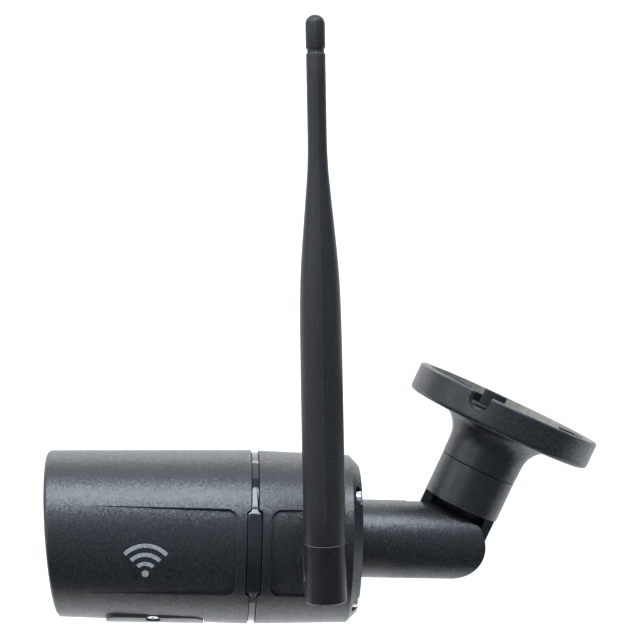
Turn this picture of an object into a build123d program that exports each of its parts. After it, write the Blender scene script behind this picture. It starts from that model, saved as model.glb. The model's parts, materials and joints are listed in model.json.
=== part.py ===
from build123d import *
import os
from math import asin, copysign, cos, radians, sin

# Wireless bullet security camera on a three-way bracket.
#
# Frame: the origin is the centre of the bracket's mounting face.  +Z is up, the
# camera's axis is level, the lens looks along -X and the antenna is on the -Y side.
# The bracket's own axis leans from +Z towards +X.  All sizes are in millimetres.

os.makedirs("parts", exist_ok=True)

# ---- Driving dimensions ------------------------------------------------------------

# Bracket
bracket_tilt = 23.0        # lean of the bracket's axis, degrees
elbow_to_face = 51.3       # elbow pivot to mounting face, along the bracket's axis
elbow_reach = 66.1         # the camera's reference point to the elbow pivot
bracket_r = 13.0           # arm, collar and elbow
half_gap = 0.15            # half of the gap between the two halves of the elbow
end_gap = 0.35             # gap at the ends of the elbow's tongues
wire_r = 5.2               # bore for the wiring
shaft_r = 8.0              # hollow spigots that the bracket turns on
shaft_play = 0.05          # radial running clearance of every shaft
pan_seam = 27.3            # height of the seam between collar and base
disc_r = 32.2
disc_under = 41.85         # height of the disc's room side
disc_floor = 45.8          # height of the floor of the hollow behind the disc
rim_width = 3.0
neck_flare_start = 32.6    # height where the neck starts to flare into the disc
bolt_count = 3
bolt_circle_r = 23.5
bolt_hole_r = 2.25
bolt_boss_r = 4.2
first_bolt_turn = 90       # from the leaning X axis towards +Y, degrees
notch_r = 3.4              # cable notch in the rim
notch_turn = 28.5          # from the antenna's side towards the camera, degrees
end_shift = 1.2            # the arm's rounded end is this much short of the elbow pivot
nut_thick = 3.2            # pan and roll nuts
tongue_room_r = 9.8        # wiring cavity in the elbow's two halves
cavity_r = 10.3            # limit of that cavity round each tube's own axis
spigot_end = 42.8          # height of the collar spigot's end
spigot_step = 2.0          # each spigot starts this far inside its own part
base_bore_r = 12.4         # room for the pan nut in the neck
pan_floor = 39.2           # height of the floor that the pan washer rests on
elbow_screw_r = 2.0
elbow_screw_seat = 9.4     # depth of the elbow screw's seat behind the elbow's middle

# Camera body, measured along its axis from its reference point, just before the ring
ring_x = 1.3               # middle of the decor ring
ring_half = 1.15           # half width of the narrow part of the ring
ring_wide_half = 2.25      # half width of its wide part, at each side
ring_r = 28.4
ring_gap = 0.15            # shadow gap beside the narrow part
ring_wide_gap = 0.3        # shadow gap round the wide parts
shell_r = 28.65            # rear shell at the ring
front_lip_r = 28.75        # front shell at the ring
front_r = 27.25            # front shell at its rim
front_x = -64.4            # rim, on the axis
rim_slant = 0.106          # the rim leans forward by this much per millimetre of height
rear_r = 27.8              # rear shell where its back chamfer starts
chamfer_x = 32.9
back_bevel = 3.2
back_x = 37.0              # back face of the rear shell
back_inside_x = 32.0
bore_front = 24.6          # inside of the front shell
bore_rear = 25.4           # inside of the rear shell
spigot_r = 26.2            # rear shell's spigot, inside the front shell
spigot_x = -5.0
side_half = 14.0           # half height of the side panels and of the wide ring parts
panel_r = 27.55            # floor of the side panels
panel_rise = 0.0105        # the rear panels' floor rises by this per millimetre, to run out
panel_front_x = -4.3
panel_rear_x = 6.6
panel_corner = 3.2
screw_circle_r = 23.3
screw_seat_x = 33.9        # seat of the long screws' heads
screw_boss_r = 3.2
screw_count = 4
first_screw_turn = 45
screw_shank_r = 1.25
screw_head_r = 2.65
screw_tip_x = -14.0

# Window and optics
ledge_front_x = -52.0
ledge_back_x = -49.4
ledge_r = 21.5
hood_r = 24.9
glass_thick = 2.0
gasket_thick = 0.6
board_thick = 1.6
led_count = 6
led_circle_r = 16.8
led_r = 2.5
board_screw_circle_r = 23.0
board_screw_count = 3
first_board_screw_turn = 30
board_hole_pitch = 27.0
board_hole_r = 1.1
small_gap = 0.02           # gap between pieces that touch
lens_front_x = -51.8       # pole of the front lens
lens_seat_x = -49.4
lens_r = 4.85
barrel_front_x = -52.2
barrel_lip_r = 7.2
barrel_r = 6.0
barrel_bore_r = 3.4
sensor_board_x = -32.0     # front face of the image sensor's board
filter_step = 5.8          # travel of the day and night filter

# Card door, on the underside
door_start_x = -45.8
door_end_x = -14.3
door_half_width = 15.8
door_r = 28.75
door_inner_r = 26.15
door_gap = 0.25
door_screw_x = -30.6
door_screw_turn = 29.6     # angle of each door screw from straight down, degrees
door_hatch_x = (-30.5, -17.0)
door_hatch_y = (-3.5, 7.0)
door_screw_r = 1.0
door_screw_head_r = 2.0
door_screw_seat_r = 27.1   # seat of the door screws' heads, from the camera's axis
door_screw_end_r = 22.5

# Antenna
port_x = 22.65
port_z = -2.0
port_face = 28.0           # outer face of the port's boss, from the camera's axis
port_r = 3.17
knuckle_size = 12.8
knuckle_end = 37.5
rod_out = 45.8             # antenna axis, from the camera's axis
rod_lean = 3.0             # the antenna's top leans forward, degrees
rod_length = 177.8
rod_foot = 7.8             # hinge pin to the antenna's bottom end
rod_r = 6.5
rod_tip_r = 2.95
rod_seam = 18.3            # bottom end to the seam between sleeve and sheath
tongue_half = 2.5
tongue_r = 4.4
pin_r = 1.25

# ---- Places ------------------------------------------------------------------------

front_end_x = ring_x - ring_half - ring_gap   # front shell's end at the ring
rear_start_x = ring_x + ring_half + ring_gap  # rear shell's start at the ring

lean = radians(bracket_tilt)
bracket_up = Vector(sin(lean), 0, cos(lean))
bracket_across = Vector(cos(lean), 0, -sin(lean))
elbow = bracket_up * -elbow_to_face
body = elbow - Vector(elbow_reach, 0, 0)
away = (0, -1, 0)

rod_up = Vector(-sin(radians(rod_lean)), 0, cos(radians(rod_lean)))
rod_across = Vector(cos(radians(rod_lean)), 0, sin(radians(rod_lean)))
rod_pivot = body + Vector(port_x, -rod_out, port_z)

body_axis = Axis(body, (1, 0, 0))
bracket_axis = Axis(elbow, bracket_up)
rod_axis = Axis(rod_pivot, rod_up)

# Profile planes: the local X runs along the axis and the local Y is the radius.
body_profile = Plane(body, x_dir=(1, 0, 0), z_dir=away)
bracket_profile = Plane(elbow, x_dir=bracket_up, z_dir=away)
rod_profile = Plane(rod_pivot - rod_up * rod_foot, x_dir=rod_up, z_dir=away)

# Side view of the antenna's hinge: the local X points at the camera, the local Y up the rod.
fork_side = Plane(rod_pivot, x_dir=(0, 1, 0), z_dir=rod_across)


def bracket_section(height):
    """Plane across the bracket's axis, this far above the elbow pivot."""
    return Plane(elbow + bracket_up * height, x_dir=bracket_across, z_dir=bracket_up)


def body_section(x):
    """Plane across the camera's axis: the local X is +Y and the local Y is +Z."""
    return Plane(body + Vector(x, 0, 0), x_dir=(0, 1, 0), z_dir=(1, 0, 0))


def body_side(y):
    """Upright plane along the camera's axis, facing -Y."""
    return Plane(body + Vector(0, y, 0), x_dir=(1, 0, 0), z_dir=away)


def body_floor(z):
    """Level plane at this height from the camera's axis, facing down."""
    return Plane(body + Vector(0, 0, z), x_dir=(1, 0, 0), z_dir=(0, 0, -1))


def elbow_side(y, x_dir=(1, 0, 0)):
    """Upright plane through the elbow, facing -Y."""
    return Plane(elbow + Vector(0, y, 0), x_dir=x_dir, z_dir=away)


def port_section(out, x_dir=(1, 0, 0)):
    """Plane across the antenna port's axis, this far out from the camera's axis."""
    return Plane(body + Vector(port_x, -out, port_z), x_dir=x_dir, z_dir=away)


def door_screw_section(side, depth):
    """Plane across a door screw's axis, at this radius from the camera's axis."""
    turn = radians(door_screw_turn) * side
    out = Vector(0, sin(turn), -cos(turn))
    return Plane(body + Vector(door_screw_x, 0, 0) + out * depth, x_dir=(1, 0, 0), z_dir=out)


def band(start, end, inner, outer, mode=Mode.ADD):
    """Rectangle on a profile plane: from start to end along the axis, inner to outer radius."""
    with Locations(((start + end) / 2, (inner + outer) / 2)):
        Rectangle(end - start, outer - inner, mode=mode)


def area(x_range, y_range, mode=Mode.ADD):
    """Rectangle between two pairs of local coordinates."""
    with Locations((sum(x_range) / 2, sum(y_range) / 2)):
        Rectangle(x_range[1] - x_range[0], y_range[1] - y_range[0], mode=mode)


def dome(edge_x, edge_r, pole_x):
    """Spherical end of a profile, from its edge to its pole on the axis."""
    height = pole_x - edge_x
    sphere_r = (edge_r**2 + height**2) / (2 * abs(height))
    middle_turn = asin(edge_r / sphere_r) / 2
    centre_x = pole_x - copysign(sphere_r, height)
    middle_x = centre_x + copysign(sphere_r * cos(middle_turn), height)
    ThreePointArc((edge_x, edge_r), (middle_x, sphere_r * sin(middle_turn)), (pole_x, 0))


def front_shell_r(x):
    """Outer radius of the front shell's long taper."""
    return front_r + (x - front_x) * (front_lip_r - front_r) / (front_end_x - front_x)


# ---- Cutting shapes shared by more than one piece ----------------------------------

# Side panels: everything outside their floor, between rounded ends.
with BuildPart() as front_panel_cut:
    with BuildSketch(body_profile):
        with Locations(((panel_front_x - 90) / 2, 0)):
            RectangleRounded(panel_front_x + 90, 2 * side_half, panel_corner)
    extrude(amount=40, both=True)
    with BuildSketch(body_profile):
        band(-95, 5, 0, panel_r)
    revolve(axis=body_axis, mode=Mode.SUBTRACT)

with BuildPart() as rear_panel_cut:
    with BuildSketch(body_profile):
        with Locations(((panel_rear_x + 60) / 2, 0)):
            RectangleRounded(60 - panel_rear_x, 2 * side_half, panel_corner)
    extrude(amount=40, both=True)
    with BuildSketch(body_profile):
        Polygon((0, 0), (0, panel_r), (65, panel_r + 65 * panel_rise), (65, 0), align=None)
    revolve(axis=body_axis, mode=Mode.SUBTRACT)


def wide_ring(grow):
    """Side view of the ring's wide part, with 45 degree shoulders."""
    wide = ring_wide_half + grow
    reach = side_half + grow
    step = ring_wide_half - ring_half
    with Locations((ring_x, 0)):
        Polygon(
            (-wide, -reach + step),
            (-ring_half, -reach),
            (ring_half, -reach),
            (wide, -reach + step),
            (wide, reach - step),
            (ring_half, reach),
            (-ring_half, reach),
            (-wide, reach - step),
            align=None,
        )


# Slot across both shells for the wide parts of the ring.
with BuildPart() as ring_slot:
    with BuildSketch(body_profile):
        wide_ring(ring_wide_gap)
    extrude(amount=40, both=True)
    with BuildSketch(body_profile):
        band(-10, 10, 0, spigot_r + 0.1)
    revolve(axis=body_axis, mode=Mode.SUBTRACT)

# Pocket for the card door.
with BuildPart() as door_pocket:
    with BuildSketch(body_floor(0)):
        with Locations(((door_start_x + door_end_x) / 2, 0)):
            RectangleRounded(
                door_end_x - door_start_x + 2 * door_gap, 2 * (door_half_width + door_gap), 3.2
            )
    extrude(amount=40)
    with BuildSketch(body_profile):
        band(-60, 0, 0, door_inner_r - 0.05)
    revolve(axis=body_axis, mode=Mode.SUBTRACT)

# Groove for the card door's gasket, and the gasket itself, share this outline.
hatch_centre = (sum(door_hatch_x) / 2, -sum(door_hatch_y) / 2)
hatch_size = (door_hatch_x[1] - door_hatch_x[0], door_hatch_y[1] - door_hatch_y[0])


def gasket_outline(margin):
    """Ring round the card hatch, this far clear of it and 1.6 mm wide."""
    with Locations(hatch_centre):
        RectangleRounded(hatch_size[0] + 2 * margin + 3.2, hatch_size[1] + 2 * margin + 3.2, 3)
        RectangleRounded(
            hatch_size[0] + 2 * margin, hatch_size[1] + 2 * margin, 1.6, mode=Mode.SUBTRACT
        )


# ---- Bracket -----------------------------------------------------------------------

# Base: a hollow-backed disc on a trumpet-shaped neck, with a notch for the cable.
with BuildPart() as base_flange:
    with BuildSketch(bracket_profile):
        with BuildLine():
            Polyline(
                (pan_seam, shaft_r + shaft_play),
                (pan_seam, bracket_r),
                (neck_flare_start, bracket_r + 0.15),
            )
            ThreePointArc((neck_flare_start, bracket_r + 0.15), (39.0, 15.6), (disc_under, 20.6))
            Polyline(
                (disc_under, 20.6),
                (disc_under, disc_r),
                (elbow_to_face, disc_r),
                (elbow_to_face, disc_r - rim_width),
                (disc_floor, disc_r - rim_width),
                (disc_floor, base_bore_r),
                (pan_floor, base_bore_r),
                (pan_floor, shaft_r + shaft_play),
                (pan_seam, shaft_r + shaft_play),
            )
        make_face()
    revolve(axis=bracket_axis)
    disc_edges = base_flange.edges().filter_by(GeomType.CIRCLE).group_by(SortBy.RADIUS)[-1]
    chamfer(disc_edges.sort_by(bracket_axis)[-1], length=0.5)
    disc_edges = base_flange.edges().filter_by(GeomType.CIRCLE).group_by(SortBy.RADIUS)[-1]
    fillet(disc_edges.sort_by(bracket_axis)[0], radius=1.6)
    # Bosses for the wall screws
    with BuildSketch(bracket_section(disc_floor - 0.5)):
        with PolarLocations(bolt_circle_r, bolt_count, start_angle=first_bolt_turn):
            Circle(bolt_boss_r)
    extrude(amount=elbow_to_face - disc_floor + 0.5)
    with BuildSketch(bracket_section(disc_under - 1)):
        with PolarLocations(bolt_circle_r, bolt_count, start_angle=first_bolt_turn):
            Circle(bolt_hole_r)
    extrude(amount=elbow_to_face - disc_under + 2, mode=Mode.SUBTRACT)
    # Cable notch in the rim
    notch_angle = radians(notch_turn)
    notch_out = bracket_across * -sin(notch_angle) + Vector(0, -cos(notch_angle), 0)
    notch_centre = elbow + bracket_up * (elbow_to_face - 2.0)
    notch_plane = Plane(notch_centre, x_dir=bracket_up.cross(notch_out), z_dir=notch_out)
    with BuildSketch(notch_plane):
        Circle(notch_r)
        with Locations((0, 5)):
            Rectangle(2 * notch_r, 10)
    extrude(amount=disc_r + 2, mode=Mode.SUBTRACT)
base_flange.part.label = "base_flange"
export_step(base_flange.part, "parts/base_flange.step")

# Cavity for the wiring in the collar's half of the elbow.
with BuildPart() as collar_cavity:
    with BuildSketch(elbow_side(half_gap - 1, x_dir=bracket_across)):
        Circle(tongue_room_r)
        area((-tongue_room_r, tongue_room_r), (0, 22))
        Circle(6.0, mode=Mode.SUBTRACT)
    extrude(amount=-9.0)
    with BuildSketch(bracket_section(-15)):
        Circle(cavity_r)
    extrude(amount=45, mode=Mode.INTERSECT)

# Collar: turns in the base and carries the far half of the elbow.
with BuildPart() as pan_collar:
    with BuildSketch(bracket_section(-bracket_r)):
        Circle(bracket_r - 0.03)
    extrude(amount=pan_seam - 0.3 + bracket_r)
    # Room for the arm's half of the elbow
    with BuildSketch(elbow_side(half_gap, x_dir=bracket_across)):
        area((-20, 20), (-20, bracket_r + end_gap))
    extrude(amount=20, mode=Mode.SUBTRACT)
    # Rounded end
    with BuildSketch(elbow_side(0, x_dir=bracket_across)):
        area((-20, 20), (-20, 0))
        Circle(bracket_r - 0.1, mode=Mode.SUBTRACT)
    extrude(amount=20, both=True, mode=Mode.SUBTRACT)
    # Hollow spigot
    with BuildSketch(bracket_section(pan_seam - spigot_step)):
        Circle(shaft_r)
    extrude(amount=spigot_end - pan_seam + spigot_step)
    add(collar_cavity.part, mode=Mode.SUBTRACT)
    with BuildSketch(bracket_section(18)):
        Circle(wire_r)
    extrude(amount=30, mode=Mode.SUBTRACT)
    # Elbow screw's hole and seat
    with BuildSketch(elbow_side(half_gap)):
        Circle(elbow_screw_r + 0.5)
    extrude(amount=-20, mode=Mode.SUBTRACT)
    with BuildSketch(elbow_side(elbow_screw_seat)):
        Circle(5.4)
    extrude(amount=-10, mode=Mode.SUBTRACT)
pan_collar.part.label = "pan_collar"
export_step(pan_collar.part, "parts/pan_collar.step")

with BuildPart() as pan_washer:
    with BuildSketch(bracket_profile):
        band(pan_floor + 0.3, pan_floor + 0.9, shaft_r + 0.03, 11.4)
    revolve(axis=bracket_axis)
pan_washer.part.label = "pan_washer"
export_step(pan_washer.part, "parts/pan_washer.step")

with BuildPart() as pan_nut:
    with BuildSketch(bracket_section(pan_floor + 0.95)):
        RegularPolygon(10.8, 6)
        Circle(shaft_r + 0.03, mode=Mode.SUBTRACT)
    extrude(amount=nut_thick)
pan_nut.part.label = "pan_nut"
export_step(pan_nut.part, "parts/pan_nut.step")

# Cavity for the wiring in the arm's half of the elbow.
with BuildPart() as arm_cavity:
    with BuildSketch(elbow_side(half_gap)):
        Circle(tongue_room_r)
        area((-bracket_r - end_gap - 2, 0), (-5, 5))
        Circle(5.0, mode=Mode.SUBTRACT)
    extrude(amount=8.0)
    with BuildSketch(body_section(elbow_reach - 20)):
        Circle(cavity_r)
    extrude(amount=40, mode=Mode.INTERSECT)

# Arm: a tube with the near half of the elbow at one end and a hollow spigot at the other.
arm_start = back_x + 0.3
with BuildPart() as bracket_arm:
    with BuildSketch(elbow_side(0)):
        with Locations((-end_shift, 0)):
            Circle(bracket_r)
        area((arm_start - elbow_reach, -end_shift), (-bracket_r, bracket_r))
        # Relief under the collar
        with Locations(Location((15.3 * sin(lean), 15.3 * cos(lean), 0), -bracket_tilt)):
            Rectangle(60, 10, mode=Mode.SUBTRACT)
    extrude(amount=bracket_r, both=True)
    with BuildSketch(body_section(arm_start)):
        Circle(bracket_r)
    extrude(amount=60, mode=Mode.INTERSECT)
    # Room for the collar's half of the elbow
    with BuildSketch(elbow_side(-half_gap)):
        area((-bracket_r - end_gap, 20), (-20, 20))
    extrude(amount=-20, mode=Mode.SUBTRACT)
    # Hollow spigot
    with BuildSketch(body_section(28.0)):
        Circle(shaft_r)
    extrude(amount=arm_start - 27)
    add(arm_cavity.part, mode=Mode.SUBTRACT)
    with BuildSketch(body_section(20)):
        Circle(wire_r)
    extrude(amount=elbow_reach - bracket_r - end_gap - 18, mode=Mode.SUBTRACT)
    # Groove for the seal against the rear shell
    with BuildSketch(body_profile):
        band(arm_start - 0.1, arm_start + 1.0, 9.6, 11.0)
    revolve(axis=body_axis, mode=Mode.SUBTRACT)
    # Elbow screw's thread
    with BuildSketch(elbow_side(0)):
        Circle(elbow_screw_r + 0.05)
    extrude(amount=9.5, mode=Mode.SUBTRACT)
bracket_arm.part.label = "bracket_arm"
export_step(bracket_arm.part, "parts/bracket_arm.step")

with BuildPart() as arm_seal:
    with BuildSketch(body_profile):
        with Locations((arm_start + 0.5, 10.3)):
            Circle(0.48)
    revolve(axis=body_axis)
arm_seal.part.label = "arm_seal"
export_step(arm_seal.part, "parts/arm_seal.step")

with BuildPart() as roll_nut:
    with BuildSketch(body_section(28.4)):
        RegularPolygon(12.0, 6)
        Circle(shaft_r + 0.03, mode=Mode.SUBTRACT)
    extrude(amount=nut_thick)
roll_nut.part.label = "roll_nut"
export_step(roll_nut.part, "parts/roll_nut.step")

with BuildPart() as cable_seal:
    with BuildSketch(body_profile):
        band(27.0, 28.0, 2.6, 6.6)
        band(28.0, 33.0, 2.6, wire_r)
    revolve(axis=body_axis)
cable_seal.part.label = "cable_seal"
export_step(cable_seal.part, "parts/cable_seal.step")

with BuildPart() as elbow_washer:
    with BuildSketch(elbow_side(elbow_screw_seat + 0.3)):
        Circle(5.1)
        Circle(elbow_screw_r + 0.48, mode=Mode.SUBTRACT)
    extrude(amount=-0.5)
elbow_washer.part.label = "elbow_washer"
export_step(elbow_washer.part, "parts/elbow_washer.step")

# Elbow screw: cap head with a hexagonal socket, on the far side.
with BuildPart() as elbow_screw:
    screw_head_y = elbow_screw_seat + 0.8
    with BuildSketch(elbow_side(screw_head_y)):
        Circle(4.6)
    extrude(amount=-2.4)
    chamfer(elbow_screw.edges().sort_by(Axis.Y)[-1], length=0.4)
    with BuildSketch(elbow_side(screw_head_y)):
        Circle(elbow_screw_r + 0.45)
    extrude(amount=screw_head_y - half_gap - 0.1)
    with BuildSketch(elbow_side(1.0)):
        Circle(elbow_screw_r)
    extrude(amount=10.0)
    with BuildSketch(elbow_side(screw_head_y + 2.4)):
        RegularPolygon(1.7, 6)
    extrude(amount=1.6, mode=Mode.SUBTRACT)
elbow_screw.part.label = "elbow_screw"
export_step(elbow_screw.part, "parts/elbow_screw.step")

# ---- Housing -----------------------------------------------------------------------

with BuildPart() as door_gasket:
    with BuildSketch(body_floor(-15)):
        gasket_outline(0.8)
    extrude(amount=20)
    with BuildSketch(body_profile):
        band(-60, 0, door_inner_r - 0.65, door_inner_r - 0.05)
    revolve(axis=body_axis, mode=Mode.INTERSECT)
door_gasket.part.label = "door_gasket"
export_step(door_gasket.part, "parts/door_gasket.step")

# Front shell: tapered tube with a slanted hood, a window ledge and the card hatch.
with BuildPart() as front_shell:
    with BuildSketch(body_profile):
        Polygon(
            (-72, front_shell_r(-72)),
            (front_end_x, front_lip_r),
            (front_end_x, spigot_r + 0.1),
            (spigot_x - 0.2, spigot_r + 0.1),
            (spigot_x - 0.2, bore_front),
            (ledge_back_x, bore_front),
            (ledge_back_x, ledge_r),
            (ledge_front_x, ledge_r),
            (ledge_front_x, hood_r),
            (-72, hood_r),
            align=None,
        )
    revolve(axis=body_axis)
    rim_plane = Plane(body + Vector(front_x, 0, 0), x_dir=(0, 1, 0), z_dir=(1, 0, rim_slant))
    split(bisect_by=rim_plane, keep=Keep.TOP)
    rim_edges = front_shell.faces().sort_by(Axis(body, (1, 0, rim_slant)))[0].edges()
    fillet(rim_edges.sort_by(SortBy.LENGTH)[-1], radius=1.3)
    rim_edges = front_shell.faces().filter_by(GeomType.PLANE)
    rim_edges = rim_edges.sort_by(Axis(body, (1, 0, rim_slant)))[0].edges()
    fillet(rim_edges.sort_by(SortBy.LENGTH)[0], radius=0.5)
    # Posts for the long screws
    with BuildSketch(body_section(-16)):
        with PolarLocations(screw_circle_r, screw_count, start_angle=first_screw_turn):
            Circle(screw_boss_r)
    extrude(amount=16 + spigot_x - 0.2)
    # Posts for the door screws
    for side in (-1, 1):
        with BuildSketch(door_screw_section(side, 21.2)):
            Circle(2.4)
        extrude(amount=4.4)
    add(front_panel_cut.part, mode=Mode.SUBTRACT)
    add(ring_slot.part, mode=Mode.SUBTRACT)
    add(door_pocket.part, mode=Mode.SUBTRACT)
    with BuildSketch(body_section(screw_tip_x - 1)):
        with PolarLocations(screw_circle_r, screw_count, start_angle=first_screw_turn):
            Circle(screw_shank_r + 0.03)
    extrude(amount=12, mode=Mode.SUBTRACT)
    for side in (-1, 1):
        with BuildSketch(door_screw_section(side, door_screw_end_r - 0.5)):
            Circle(door_screw_r + 0.03)
        extrude(amount=6, mode=Mode.SUBTRACT)
    # Card hatch and the groove round it
    with BuildSketch(body_floor(-15)):
        with Locations(hatch_centre):
            RectangleRounded(*hatch_size, 1.5)
    extrude(amount=20, mode=Mode.SUBTRACT)
    add(door_gasket.part, mode=Mode.SUBTRACT)
    # Blind holes for the light board's screws
    with BuildSketch(body_section(ledge_back_x - 2.0)):
        with PolarLocations(board_screw_circle_r, board_screw_count, start_angle=first_board_screw_turn):
            Circle(0.82)
    extrude(amount=3, mode=Mode.SUBTRACT)
front_shell.part.label = "front_shell"
export_step(front_shell.part, "parts/front_shell.step")

# Rear shell: closed cup with a chamfered back, recessed screws and the antenna's boss.
with BuildPart() as rear_shell:
    with BuildSketch(body_profile):
        Polygon(
            (spigot_x, bore_front - 0.2),
            (spigot_x, spigot_r),
            (rear_start_x, spigot_r),
            (rear_start_x, shell_r),
            (chamfer_x, rear_r),
            (chamfer_x + back_bevel, rear_r - back_bevel),
            (back_x, 16.0),
            (back_x, shaft_r + shaft_play),
            (back_inside_x, shaft_r + shaft_play),
            (back_inside_x, bore_rear),
            (4.0, bore_rear),
            (3.0, bore_front - 0.2),
            align=None,
        )
    revolve(axis=body_axis)
    # Columns for the long screws
    with BuildSketch(body_section(spigot_x)):
        with PolarLocations(screw_circle_r, screw_count, start_angle=first_screw_turn):
            Circle(screw_boss_r)
    extrude(amount=chamfer_x - 0.5 - spigot_x)
    with BuildSketch(body_profile):
        band(spigot_x - 1, rear_start_x, spigot_r, 40)
    revolve(axis=body_axis, mode=Mode.SUBTRACT)
    # Rails that hold the main board
    with BuildSketch(body_section(5)):
        for x_range in ((-1.2, -0.15), (board_thick + 0.15, board_thick + 1.2)):
            area(x_range, (17.0, 26.0))
            area(x_range, (-26.0, -17.0))
    extrude(amount=14)
    add(rear_panel_cut.part, mode=Mode.SUBTRACT)
    add(ring_slot.part, mode=Mode.SUBTRACT)
    # Boss for the antenna port
    with BuildSketch(port_section(25)):
        Circle(7.5)
    extrude(amount=port_face - 25)
    with BuildSketch(port_section(15)):
        Circle(5.4)
    extrude(amount=9.9, mode=Mode.SUBTRACT)
    with BuildSketch(port_section(20)):
        Circle(port_r + 0.05)
    extrude(amount=20, mode=Mode.SUBTRACT)
    # Screw holes, their seats and the seal's groove
    with BuildSketch(body_section(spigot_x - 1)):
        with PolarLocations(screw_circle_r, screw_count, start_angle=first_screw_turn):
            Circle(screw_shank_r + 0.2)
    extrude(amount=45, mode=Mode.SUBTRACT)
    with BuildSketch(body_section(screw_seat_x)):
        with PolarLocations(screw_circle_r + 0.9, screw_count, start_angle=first_screw_turn):
            SlotCenterToCenter(1.8, 6.2)
    extrude(amount=10, mode=Mode.SUBTRACT)
    with BuildSketch(body_profile):
        band(-3.7, -2.3, 25.1, 30)
    revolve(axis=body_axis, mode=Mode.SUBTRACT)
rear_shell.part.label = "rear_shell"
export_step(rear_shell.part, "parts/rear_shell.step")

# Decor ring: gloss band between the shells, wider at each side.
with BuildPart() as decor_ring:
    with BuildSketch(body_profile):
        wide_ring(0)
    extrude(amount=40, both=True)
    with BuildSketch(body_profile):
        band(ring_x - ring_half, ring_x + ring_half, spigot_r + 0.1, 40)
    revolve(axis=body_axis)
    with BuildSketch(body_profile):
        band(-10, 10, spigot_r + 0.15, ring_r)
    revolve(axis=body_axis, mode=Mode.INTERSECT)
decor_ring.part.label = "decor_ring"
export_step(decor_ring.part, "parts/decor_ring.step")

with BuildPart() as shell_seal:
    with BuildSketch(body_profile):
        with Locations((-3.0, 25.68)):
            Circle(0.55)
    revolve(axis=body_axis)
shell_seal.part.label = "shell_seal"
export_step(shell_seal.part, "parts/shell_seal.step")


def cross_slot(size, width):
    """Cross-shaped driver recess."""
    Rectangle(size, width)
    Rectangle(width, size)


# Long screws that clamp the rear shell, the ring and the front shell together.
with BuildPart() as shell_screws:
    with BuildSketch(body_section(screw_seat_x + small_gap)):
        with PolarLocations(screw_circle_r, screw_count, start_angle=first_screw_turn):
            Circle(screw_head_r)
    extrude(amount=1.9)
    fillet(shell_screws.edges().group_by(Axis.X)[-1], radius=0.6)
    with BuildSketch(body_section(screw_tip_x)):
        with PolarLocations(screw_circle_r, screw_count, start_angle=first_screw_turn):
            Circle(screw_shank_r)
    extrude(amount=screw_seat_x - screw_tip_x + small_gap)
    with BuildSketch(body_section(screw_seat_x + 0.9)):
        with PolarLocations(screw_circle_r, screw_count, start_angle=first_screw_turn):
            cross_slot(2.8, 0.7)
    extrude(amount=3, mode=Mode.SUBTRACT)
shell_screws.part.label = "shell_screws"
export_step(shell_screws.part, "parts/shell_screws.step")

# Card door: curved plate level with the shell at its back end and proud at its front.
with BuildPart() as card_door:
    with BuildSketch(body_floor(0)):
        with Locations(((door_start_x + door_end_x) / 2, 0)):
            RectangleRounded(door_end_x - door_start_x, 2 * door_half_width, 3.0)
    extrude(amount=40)
    with BuildSketch(body_profile):
        band(-60, 0, door_inner_r, door_r)
    revolve(axis=body_axis, mode=Mode.INTERSECT)
    for side in (-1, 1):
        with BuildSketch(door_screw_section(side, 20)):
            Circle(door_screw_r + 0.2)
        extrude(amount=15, mode=Mode.SUBTRACT)
        with BuildSketch(door_screw_section(side, door_screw_seat_r)):
            Circle(door_screw_head_r + 0.5)
        extrude(amount=5, mode=Mode.SUBTRACT)
card_door.part.label = "card_door"
export_step(card_door.part, "parts/card_door.step")

with BuildPart() as door_screws:
    for side in (-1, 1):
        with BuildSketch(door_screw_section(side, door_screw_seat_r + small_gap)):
            Circle(door_screw_head_r)
        extrude(amount=1.1)
        with BuildSketch(door_screw_section(side, door_screw_end_r)):
            Circle(door_screw_r)
        extrude(amount=5)
        with BuildSketch(door_screw_section(side, door_screw_seat_r + 0.5)):
            cross_slot(2.2, 0.55)
        extrude(amount=3, mode=Mode.SUBTRACT)
door_screws.part.label = "door_screws"
export_step(door_screws.part, "parts/door_screws.step")

# ---- Window, lights and optics -----------------------------------------------------

glass_back_x = ledge_front_x - gasket_thick
glass_front_x = glass_back_x - glass_thick

with BuildPart() as window_gasket:
    with BuildSketch(body_profile):
        band(glass_back_x, ledge_front_x, ledge_r, hood_r - 0.2)
    revolve(axis=body_axis)
window_gasket.part.label = "window_gasket"
export_step(window_gasket.part, "parts/window_gasket.step")

with BuildPart() as front_window:
    with BuildSketch(body_section(glass_front_x)):
        Circle(hood_r - 0.1)
    extrude(amount=glass_thick)
front_window.part.label = "front_window"
export_step(front_window.part, "parts/front_window.step")

with BuildPart() as window_bezel:
    with BuildSketch(body_profile):
        Polygon(
            (glass_front_x, ledge_r - 0.5),
            (glass_front_x, hood_r - 0.05),
            (glass_front_x - 3.0, hood_r - 0.05),
            (glass_front_x - 3.0, hood_r - 1.2),
            (glass_front_x - 0.6, ledge_r - 0.5),
            align=None,
        )
    revolve(axis=body_axis)
window_bezel.part.label = "window_bezel"
export_step(window_bezel.part, "parts/window_bezel.step")

led_front_x = ledge_back_x
led_back_x = ledge_back_x + board_thick

with BuildPart() as led_board:
    with BuildSketch(body_section(led_front_x)):
        Circle(bore_front - 0.3)
        Circle(8.2, mode=Mode.SUBTRACT)
        with PolarLocations(board_screw_circle_r, board_screw_count, start_angle=first_board_screw_turn):
            Circle(0.95, mode=Mode.SUBTRACT)
        with GridLocations(board_hole_pitch, board_hole_pitch, 2, 2):
            Circle(board_hole_r, mode=Mode.SUBTRACT)
    extrude(amount=board_thick)
led_board.part.label = "led_board"
export_step(led_board.part, "parts/led_board.step")

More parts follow.
